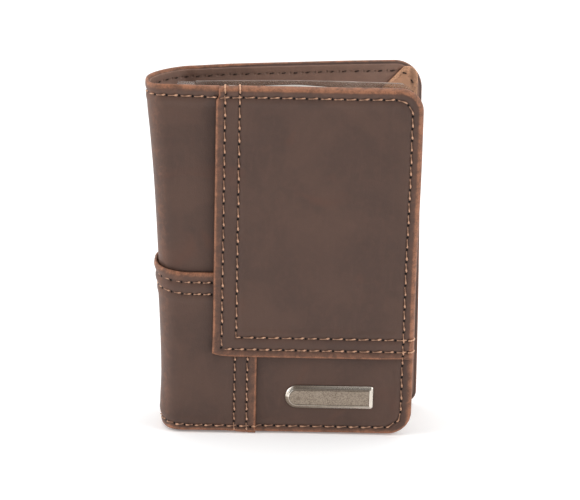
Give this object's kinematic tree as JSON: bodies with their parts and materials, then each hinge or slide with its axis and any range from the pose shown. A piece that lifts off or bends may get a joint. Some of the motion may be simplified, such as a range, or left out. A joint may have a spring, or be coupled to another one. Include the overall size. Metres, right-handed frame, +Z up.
{
  "type": "business card book",
  "caption": "Upright leather business-card book: two boarded covers on a soft spine, stitched overlay, blank nameplate, and a bound stack of clear card sleeves that fans as it opens.",
  "frame": {"origin": "middle of the object's bounding box in X and Y, on the ground plane it stands on (Z = 0)", "axes": "+Z up along the covers' height; front cover faces -Y and lies parallel to XZ; spine at -X, fore-edges at +X; the back cover stands open towards +Y"},
  "size_m": [0.0858, 0.043, 0.114],
  "materials": {
    "cover_leather": "distressed pull-up leather, satin, lighter on folds and edges",
    "lining_leather": "dark smooth lining",
    "pocket_leather": "lighter tan leather, smooth",
    "thread": "bright tan waxed thread",
    "board": "grey-brown bookbinder's board",
    "nameplate_metal": "antique nickel, fine grain, blank",
    "washer_metal": "plain zinc",
    "clear_vinyl": "clear, glossy",
    "card_stock": "matte, blank"
  },
  "bodies": {
    "spine": {"spine_leather": "cover_leather", "spine_lower_wrap": "cover_leather", "spine_lining": "lining_leather", "spine_edge_threads": "thread", "spine_wrap_threads": "thread"},
    "front_cover": {"front_overlay_panel": "cover_leather", "front_upper_leather": "cover_leather", "front_lower_wrap": "cover_leather", "front_lower_leather": "cover_leather", "front_board": "board", "front_lining": "lining_leather", "front_pocket": "lining_leather", "front_edge_thread": "thread", "overlay_outer_thread": "thread", "overlay_inner_thread": "thread", "wrap_outer_thread": "thread", "wrap_inner_thread": "thread", "front_pocket_thread": "thread", "nameplate": "nameplate_metal", "nameplate_backing_washers": "washer_metal", "insert_tuck_flap": "clear_vinyl", "insert_binding": "clear_vinyl"},
    "back_cover": {"back_leather": "cover_leather", "back_lower_wrap": "cover_leather", "back_board": "board", "back_lining": "lining_leather", "back_pocket": "pocket_leather", "back_edge_thread": "thread", "back_wrap_threads": "thread", "back_pocket_thread": "thread"},
    "leaf_01": {"sleeve_01": "clear_vinyl", "card_01": "card_stock"},
    "leaf_02": {"sleeve_02": "clear_vinyl", "card_02": "card_stock"},
    "leaf_03": {"sleeve_03": "clear_vinyl", "card_03": "card_stock"},
    "leaf_04": {"sleeve_04": "clear_vinyl"},
    "leaf_05": {"sleeve_05": "clear_vinyl", "card_04": "card_stock"},
    "leaf_06": {"sleeve_06": "clear_vinyl", "card_05": "card_stock"},
    "leaf_07": {"sleeve_07": "clear_vinyl"},
    "leaf_08": {"sleeve_08": "clear_vinyl", "card_06": "card_stock"},
    "leaf_09": {"sleeve_09": "clear_vinyl", "card_07": "card_stock"},
    "leaf_10": {"sleeve_10": "clear_vinyl"},
    "leaf_11": {"sleeve_11": "clear_vinyl", "card_08": "card_stock"},
    "leaf_12": {"sleeve_12": "clear_vinyl"}
  },
  "joints": [
    {"name": "front_cover_hinge", "type": "hinge", "parent": "spine", "child": "front_cover", "pos_m": [-0.04138, -0.01906, 0.057], "axis": [0, 0, 1], "range_deg": [-90, 0]},
    {"name": "back_cover_hinge", "type": "hinge", "parent": "spine", "child": "back_cover", "pos_m": [-0.0396, 0.00213, 0.057], "axis": [0, 0, 1], "range_deg": [-11.5, 78.5]},
    {"name": "leaf_01_bend", "type": "hinge", "parent": "front_cover", "child": "leaf_01", "pos_m": [-0.02951, -0.01631, 0.057], "axis": [0, 0, 1], "range_deg": [0, 5.26]},
    {"name": "leaf_02_bend", "type": "hinge", "parent": "front_cover", "child": "leaf_02", "pos_m": [-0.02951, -0.01569, 0.057], "axis": [0, 0, 1], "range_deg": [0, 10.51]},
    {"name": "leaf_03_bend", "type": "hinge", "parent": "front_cover", "child": "leaf_03", "pos_m": [-0.02951, -0.01507, 0.057], "axis": [0, 0, 1], "range_deg": [0, 15.76]},
    {"name": "leaf_04_bend", "type": "hinge", "parent": "front_cover", "child": "leaf_04", "pos_m": [-0.02951, -0.01445, 0.057], "axis": [0, 0, 1], "range_deg": [0, 21.01]},
    {"name": "leaf_05_bend", "type": "hinge", "parent": "front_cover", "child": "leaf_05", "pos_m": [-0.02951, -0.01383, 0.057], "axis": [0, 0, 1], "range_deg": [0, 26.26]},
    {"name": "leaf_06_bend", "type": "hinge", "parent": "front_cover", "child": "leaf_06", "pos_m": [-0.02951, -0.01321, 0.057], "axis": [0, 0, 1], "range_deg": [0, 31.51]},
    {"name": "leaf_07_bend", "type": "hinge", "parent": "front_cover", "child": "leaf_07", "pos_m": [-0.02951, -0.01259, 0.057], "axis": [0, 0, 1], "range_deg": [0, 36.76]},
    {"name": "leaf_08_bend", "type": "hinge", "parent": "front_cover", "child": "leaf_08", "pos_m": [-0.02951, -0.01197, 0.057], "axis": [0, 0, 1], "range_deg": [0, 42.01]},
    {"name": "leaf_09_bend", "type": "hinge", "parent": "front_cover", "child": "leaf_09", "pos_m": [-0.02951, -0.01135, 0.057], "axis": [0, 0, 1], "range_deg": [0, 47.26]},
    {"name": "leaf_10_bend", "type": "hinge", "parent": "front_cover", "child": "leaf_10", "pos_m": [-0.02951, -0.01073, 0.057], "axis": [0, 0, 1], "range_deg": [0, 52.51]},
    {"name": "leaf_11_bend", "type": "hinge", "parent": "front_cover", "child": "leaf_11", "pos_m": [-0.02951, -0.01011, 0.057], "axis": [0, 0, 1], "range_deg": [0, 57.76]},
    {"name": "leaf_12_bend", "type": "hinge", "parent": "front_cover", "child": "leaf_12", "pos_m": [-0.02951, -0.00949, 0.057], "axis": [0, 0, 1], "range_deg": [0, 63.01]}
  ],
  "couplings": [
    {"joint": "leaf_01_bend", "follows": "front_cover_hinge", "ratio": -0.058333},
    {"joint": "leaf_02_bend", "follows": "front_cover_hinge", "ratio": -0.11667},
    {"joint": "leaf_03_bend", "follows": "front_cover_hinge", "ratio": -0.175},
    {"joint": "leaf_04_bend", "follows": "front_cover_hinge", "ratio": -0.23333},
    {"joint": "leaf_05_bend", "follows": "front_cover_hinge", "ratio": -0.29167},
    {"joint": "leaf_06_bend", "follows": "front_cover_hinge", "ratio": -0.35},
    {"joint": "leaf_07_bend", "follows": "front_cover_hinge", "ratio": -0.40833},
    {"joint": "leaf_08_bend", "follows": "front_cover_hinge", "ratio": -0.46667},
    {"joint": "leaf_09_bend", "follows": "front_cover_hinge", "ratio": -0.525},
    {"joint": "leaf_10_bend", "follows": "front_cover_hinge", "ratio": -0.58333},
    {"joint": "leaf_11_bend", "follows": "front_cover_hinge", "ratio": -0.64167},
    {"joint": "leaf_12_bend", "follows": "front_cover_hinge", "ratio": -0.7}
  ]
}
